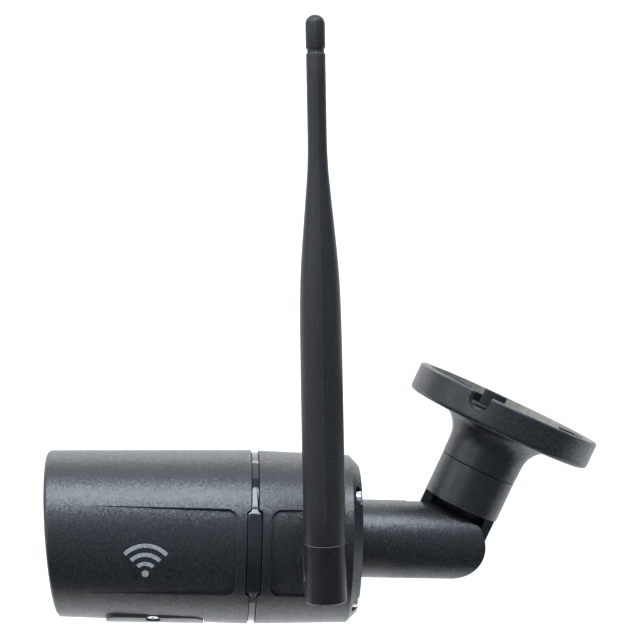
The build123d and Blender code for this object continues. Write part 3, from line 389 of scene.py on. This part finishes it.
# Pale band on the hollow's wall with painted shade below it, and painted shade in the notch
dress(nodes["base_flange"], powder_coat(
    "cast_base",
    hollow=(pan_up, -2.6 * mm, -8 * mm, 28.6 * mm, 29.25 * mm),
    notch=(notch_out, 15 * mm, 3.6 * mm, pan_up * -2 * mm),
))
# The sleeve's edges are lightened strongly: a painted highlight along its rims
dress(nodes["antenna_sleeve"], plastic(
    "sleeve_plastic", (0.0032, 0.0031, 0.0032), (0.34, 0.48),
    depth=0.05 * mm, grain=2600, specular=0.36, edge=0.2 * mm, edge_wear_and_highlight=75.0, speckle=0.9,
))
black_screw = metal("black_screw", (0.045, 0.045, 0.048), (0.3, 0.45))
for name in ("board_screws", "led_board_screws"):
    dress(nodes[name], black_screw)

# ---- Pieces built here ---------------------------------------------------------------


def mesh_object(name, mesh):
    """Object in the scene made from a bmesh."""
    data = bpy.data.meshes.new(name)
    mesh.to_mesh(data)
    mesh.free()
    obj = bpy.data.objects.new(name, data)
    scene.collection.objects.link(obj)
    return obj


def add_piece(name, mesh, material, body_name, replaced=()):
    """Piece that rides on a body."""
    bmesh.ops.recalc_face_normals(mesh, faces=mesh.faces)
    obj = mesh_object(name, mesh)
    dress(obj, material)
    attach(obj, body_name)
    if replaced:
        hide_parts(*replaced)


def skin(mesh, rows, closed=True):
    """Smooth faces between rows of vertices."""
    for lower, upper in zip(rows, rows[1:]):
        count = len(lower)
        for i in range(count if closed else count - 1):
            k = (i + 1) % count
            mesh.faces.new((lower[i], lower[k], upper[k], upper[i])).smooth = True


def sharpen(mesh, angle):
    """Marks edges sharper than this as hard."""
    for edge in mesh.edges:
        if len(edge.link_faces) == 2 and edge.calc_face_angle(0.0) > radians(angle):
            edge.smooth = False


# Antenna sheath: the CAD profile with a moulded crease down its front and back. The
# profile gives the radius at each height over the sleeve's foot, in millimetres.
fold = joint("antenna_fold")
rod_across = Vector(fold["axis"])
rod_up = Vector((-rod_across.z, 0, rod_across.x))
rod_out = Vector((0, -1, 0))
pivot_height = 7.8
rod_foot = Vector(fold["pos_m"]) - rod_up * pivot_height * mm
seam = 18.3
groove = 167.0
tip = 177.8
sheath_profile = [
    (seam, 4.6), (seam, 6.15), (seam + 0.03, 6.3), (seam + 0.12, 6.42), (seam + 0.28, 6.49),
    (30, 6.49), (40, 6.49), (50, 6.48), (60, 6.46), (70, 6.43), (80, 6.39), (86, 6.32),
    (92, 6.2), (98, 6.0), (104, 5.64), (110, 5.14), (116, 4.6), (122, 4.05), (127, 3.6),
    (132, 3.2), (136, 3.03), (140, 2.95), (143, 2.94), (150, 2.94), (158, 2.95),
    (groove - 0.95, 2.97), (groove - 0.8, 2.93), (groove - 0.62, 2.66),
    (groove - 0.5, 2.6), (groove + 0.5, 2.6), (groove + 0.62, 2.66), (groove + 0.8, 2.93),
    (groove + 0.95, 2.98), (tip - 4.5, 2.99), (tip - 2.6, 2.97), (tip - 2.0, 2.86),
    (tip - 1.5, 2.66), (tip - 1.0, 2.3), (tip - 0.6, 1.85), (tip - 0.3, 1.35),
    (tip - 0.12, 0.86), (tip - 0.04, 0.42),
]
crease_reach = radians(62)
crease_depth = 0.06        # of the radius
line_height = 0.045        # moulding line in the crease
line_half = 0.16


def crease(turn, radius):
    """Radius at this angle from the front: two shallow faces that meet in a fine line."""
    off = min(abs(turn), abs(pi - abs(turn)))
    dip = 0.0
    if off < crease_reach:
        dip = crease_depth * radius * sin(pi * off / crease_reach) * (1 - off / crease_reach)
    line = line_height * max(0.0, 1 - off * radius / line_half)
    return radius - dip - line_height + line


def turns(count, fine, close):
    """Angles round a section, with extra ones by the crease at the front and the back."""
    steps = {round(2 * pi * i / count - pi, 6) for i in range(count)}
    for centre in (0.0, pi):
        for near in close:
            for side in (-1, 1):
                steps.add(round((centre + side * near * fine + pi) % (2 * pi) - pi, 6))
    return sorted(steps)


sheath_mesh = bmesh.new()
sheath_turns = turns(88, radians(0.7), (1, 2, 4))
rows = []
for height, radius in sheath_profile:
    row = []
    for turn in sheath_turns:
        r = crease(turn, radius) * mm
        across = rod_out * r * cos(turn) + rod_across * r * sin(turn)
        row.append(sheath_mesh.verts.new(rod_foot + rod_up * height * mm + across))
    rows.append(row)
skin(sheath_mesh, rows)
pole = sheath_mesh.verts.new(rod_foot + rod_up * (tip - 0.02) * mm)
top_row = rows[-1]
for vertex, following in zip(top_row, top_row[1:] + top_row[:1]):
    sheath_mesh.faces.new((vertex, following, pole)).smooth = True
sheath_mesh.faces.new(list(reversed(rows[0])))
sharpen(sheath_mesh, 50)
add_piece(
    "antenna_sheath_moulded", sheath_mesh, looks["antenna_plastic"], "antenna",
    ["antenna_sheath"],
)

# Decor ring: gloss band with softened edges, wider at each side.
ring_r = 28.05
crown = 0.45               # the wide parts stand this much prouder at their middle
ring_floor = 26.4
narrow, wide = 1.15, 2.25  # half widths
reach = 14.0               # half height of the wide parts
edge = 0.2
bulge = 0.05               # rise of the face between its edges


def ring_half_width(turn):
    rise = abs(ring_r * sin(turn))
    return max(narrow, min(wide, narrow + reach - rise))


def ring_radius(turn):
    rise = min(1.0, abs(ring_r * sin(turn)) / reach)
    return ring_r + crown * (1 - rise ** 4)


# Extra angles where the wide parts start and end
ring_turns = {round(2 * pi * i / 360, 6) for i in range(360)}
for height in (reach, reach - (wide - narrow)):
    for step in (-0.012, -0.004, 0.0, 0.004, 0.012):
        turn = atan2(height, (ring_r ** 2 - height ** 2) ** 0.5) + step
        for mirrored in (turn, pi - turn, pi + turn, 2 * pi - turn):
            ring_turns.add(round(mirrored % (2 * pi), 6))
ring_mesh = bmesh.new()
rows = []
for turn in sorted(ring_turns):
    w = ring_half_width(turn)
    top = ring_radius(turn)
    section = [
        (-w, ring_floor), (-w, top - edge), (-w + 0.1 * edge, top - 0.55 * edge),
        (-w + 0.35 * edge, top - 0.2 * edge), (-w + 0.9 * edge, top),
        (-0.35 * w, top + bulge),
    ]
    section += [(-x, r) for x, r in reversed(section)]
    rows.append([
        ring_mesh.verts.new(ring_middle + Vector((x, -r * cos(turn), r * sin(turn))) * mm)
        for x, r in section
    ])
rows.append(rows[0])
skin(ring_mesh, rows)
sharpen(ring_mesh, 60)
add_piece(
    "decor_ring_polished", ring_mesh, looks["gloss_band"], "camera",
    ["decor_ring"],
)

# Printed sign for a wireless link: a dot under three arcs, on the antenna's side.
panel_r = 27.55
mark_x, mark_turn = -33.0, -0.09
mark_drop = 4.4            # the dot lies this much under the sign's middle
ink_foot, ink_top = -0.04, 0.045
dot_r = 1.15
arc_half = 0.65
arc_spread = radians(46)
ink_steps = 40


def on_panel(x, s, lift):
    """Point on the side panel: x along the camera, s up its curve, in millimetres."""
    turn = mark_turn + s / panel_r
    r = panel_r + lift
    return body + Vector((mark_x + x, -r * cos(turn), r * sin(turn))) * mm


def print_strip(mesh, inner, outer, start, end):
    """Thin raised ink between two radii and two angles."""
    rows = []
    for i in range(ink_steps + 1):
        turn = start + (end - start) * i / ink_steps
        rows.append([
            mesh.verts.new(on_panel(r * sin(turn), r * cos(turn) - mark_drop, lift))
            for r, lift in (
                (inner, ink_foot), (inner, ink_top), (outer, ink_top), (outer, ink_foot)
            )
        ])
    skin(mesh, rows)
    full_turn = abs(end - start) > 2 * pi - 0.01
    if not full_turn:
        mesh.faces.new(rows[0])
        mesh.faces.new(list(reversed(rows[-1])))


mark_mesh = bmesh.new()
print_strip(mark_mesh, 0.02, dot_r, 0, 2 * pi)
for radius in (3.4, 6.3, 9.2):
    print_strip(mark_mesh, radius - arc_half, radius + arc_half, -arc_spread, arc_spread)
bmesh.ops.remove_doubles(mark_mesh, verts=mark_mesh.verts, dist=1e-6)
sharpen(mark_mesh, 30)
add_piece("wireless_sign", mark_mesh, looks["silver_print"], "camera")

# Reflector cups with a chip, inside the infrared lights.
light_count = 6
light_rim = 2.85 * mm      # radius of a light's rim
cup_sides = 32
leds_low, leds_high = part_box("ir_leds")
led_board_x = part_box("led_board")[0].x
led_circle = (leds_high.y - leds_low.y) / 2 - light_rim
cup_profile = [
    (-0.6, 0.0), (-0.6, 1.95), (-1.75, 1.95), (-1.75, 1.8), (-1.3, 1.3), (-0.95, 0.75),
    (-0.95, 0.5), (-1.15, 0.5), (-1.15, 0.0),
]
cup_mesh = bmesh.new()
for light in range(light_count):
    light_turn = radians(360 / light_count * light)
    centre = Vector((
        led_board_x,
        body.y + led_circle * cos(light_turn),
        body.z + led_circle * sin(light_turn),
    ))
    rows = []
    for i in range(cup_sides + 1):
        turn = 2 * pi * i / cup_sides
        rows.append([
            cup_mesh.verts.new(centre + Vector((x, r * cos(turn), r * sin(turn))) * mm)
            for x, r in cup_profile
        ])
    skin(cup_mesh, rows, closed=False)
bmesh.ops.remove_doubles(cup_mesh, verts=cup_mesh.verts, dist=1e-7)
sharpen(cup_mesh, 40)
add_piece("ir_led_cups", cup_mesh, looks["steel"], "camera")

# ---- Studio -------------------------------------------------------------------------

# The floor lies below the reach of every pose.
body_foot = cad_low.z - 0.1 * mm
floor_z = body_foot - 420 * mm
floor_edge = ring_low.y - 1 * mm
wall_y = 1.6


def sweep(name, near, far, half_width, rise, radius):
    """Floor that curves up into a backdrop, or a flat one with no rise."""
    path = [(near, 0.0)]
    if rise:
        for step in range(17):
            turn = radians(90 * step / 16)
            path.append((far - radius + radius * sin(turn), radius - radius * cos(turn)))
    path.append((far, rise))
    mesh = bmesh.new()
    left, right = (
        [mesh.verts.new((x, y, floor_z + z)) for y, z in path]
        for x in (-half_width, half_width)
    )
    for i in range(len(path) - 1):
        mesh.faces.new((left[i], right[i], right[i + 1], left[i + 1])).smooth = True
    return mesh_object(name, mesh)


paper = Look("studio_paper", Specular_IOR_Level=0.0, Roughness=0.9)
paper_tone = paper.noise(35, 3.0, 0.6)
paper_colour = paper.ramp(paper_tone, (0.3, (0.71, 0.70, 0.68)), (0.7, (0.73, 0.72, 0.70)))
# The paper is lit up further out, where the lamps don't reach.
spot = paper.node("ShaderNodeSeparateXYZ")
paper.link(paper.place, spot.inputs[0])
before = paper.math("MINIMUM", spot.outputs["Y"], 0.0)
square = paper.math(
    "ADD", paper.math("POWER", spot.outputs["X"], 2.0), paper.math("POWER", before, 2.0)
)
paper.shader.inputs["Emission Color"].default_value = (1, 1, 1, 1)
paper.set(Base_Color=paper_colour, Emission_Strength=paper.range(square, 0.0, 0.8, 0.4, 2.6))
floor = sweep("studio_sweep", floor_edge, wall_y, 3.0, 2.4, 0.6)
# The floor before the object keeps out of its reflections, as a dark card would.
apron = sweep("studio_apron", -2.5, floor_edge, 3.0, 0.0, 0.0)
apron.visible_glossy = False
for stage_piece in (floor, apron):
    dress(stage_piece, paper.material)

# Pale surroundings for the camera only; the lamps and reflections ignore them.
around_mesh = bmesh.new()
bmesh.ops.create_icosphere(around_mesh, subdivisions=4, radius=5.0)
around = mesh_object("studio_surround", around_mesh)
pale = Look("pale_surround", Base_Color=(0, 0, 0, 1), Specular_IOR_Level=0.0, Roughness=1.0)
pale.shader.inputs["Emission Color"].default_value = (1, 1, 1, 1)
pale.shader.inputs["Emission Strength"].default_value = 1.0
dress(around, pale.material)
around.visible_diffuse = around.visible_glossy = False
around.visible_shadow = around.visible_transmission = False


def area_light(name, place, facing, size, power, colour):
    data = bpy.data.lights.new(name, "AREA")
    data.shape = "RECTANGLE"
    data.size, data.size_y = size
    data.energy = power
    data.color = colour
    light = bpy.data.objects.new(name, data)
    light.location = place
    light.rotation_mode = "QUATERNION"
    light.rotation_quaternion = facing.to_track_quat("-Z", "Y")
    scene.collection.objects.link(light)
    return light


# Softboxes, each at a bearing from the point it is aimed at: azimuth 0 is the -Y side.
backdrop = Vector((0, wall_y, 0.35))
for name, aim, azimuth, elevation, distance, size, power, colour in (
    ("front_softbox", body, 0, 66, 1.3, (1.5, 0.66), 27, (0.82, 0.91, 1.0)),
    ("top_softbox", body, 180, 62, 1.5, (2.4, 1.2), 8, (0.93, 0.97, 1.0)),
    ("left_softbox", body, -60, 25, 1.5, (1.6, 1.8), 13, (0.9, 0.95, 1.0)),
    ("wall_light", backdrop, 0, 55, 0.9, (2.4, 0.8), 23, (1, 1, 1)),
):
    turn, rise = radians(azimuth), radians(elevation)
    back = Vector((sin(turn) * cos(rise), -cos(turn) * cos(rise), sin(rise)))
    area_light(name, aim + back * distance, -back, size, power, colour)

# Glow along the underside of the camera body, as from white paper right under it
glow_place = Vector((body.x - 15 * mm, body.y, body_foot + 0.05 * mm))
glow = area_light(
    "paper_glow", glow_place, Vector((0, 0, 1)), (0.13, 0.058), 0.009, (1.0, 0.96, 0.9)
)
glow.visible_camera = False

# Surroundings for the reflections, darker towards the ground
world = bpy.data.worlds.new("studio_world")
world.use_nodes = True
sky = world.node_tree.nodes
sky["Background"].inputs["Color"].default_value = (0.7, 0.86, 1.0, 1)
sky_place = sky.new("ShaderNodeTexCoord")
sky_split = sky.new("ShaderNodeSeparateXYZ")
sky_range = sky.new("ShaderNodeMapRange")
for socket, value in (
    ("From Min", -0.6), ("From Max", 0.4), ("To Min", 0.13), ("To Max", 0.5),
):
    sky_range.inputs[socket].default_value = value
for start, end in (
    (sky_place.outputs["Generated"], sky_split.inputs[0]),
    (sky_split.outputs["Z"], sky_range.inputs["Value"]),
    (sky_range.outputs["Result"], sky["Background"].inputs["Strength"]),
):
    world.node_tree.links.new(start, end)
scene.world = world
scene.view_settings.view_transform = "Standard"

# ---- Camera -------------------------------------------------------------------------

# Place, direction and lens as solved from the outlines in the photo
camera_data = bpy.data.cameras.new("photo_camera")
camera_data.lens = 87.17
camera_data.sensor_width = 36.0
camera_data.clip_start, camera_data.clip_end = 0.01, 50
camera = bpy.data.objects.new("photo_camera", camera_data)
from_body = Vector((-14.57, -511.75, 112.07)) * mm
right = Vector((0.99713, -0.06786, 0.03353))
up = Vector((-0.02822, 0.07776, 0.99657))
forward = Vector((0.07024, 0.99466, -0.07562))
turned = Matrix((right, up, -forward)).transposed().to_4x4()
camera.matrix_world = Matrix.Translation(body + from_body) @ turned
scene.collection.objects.link(camera)
scene.camera = camera
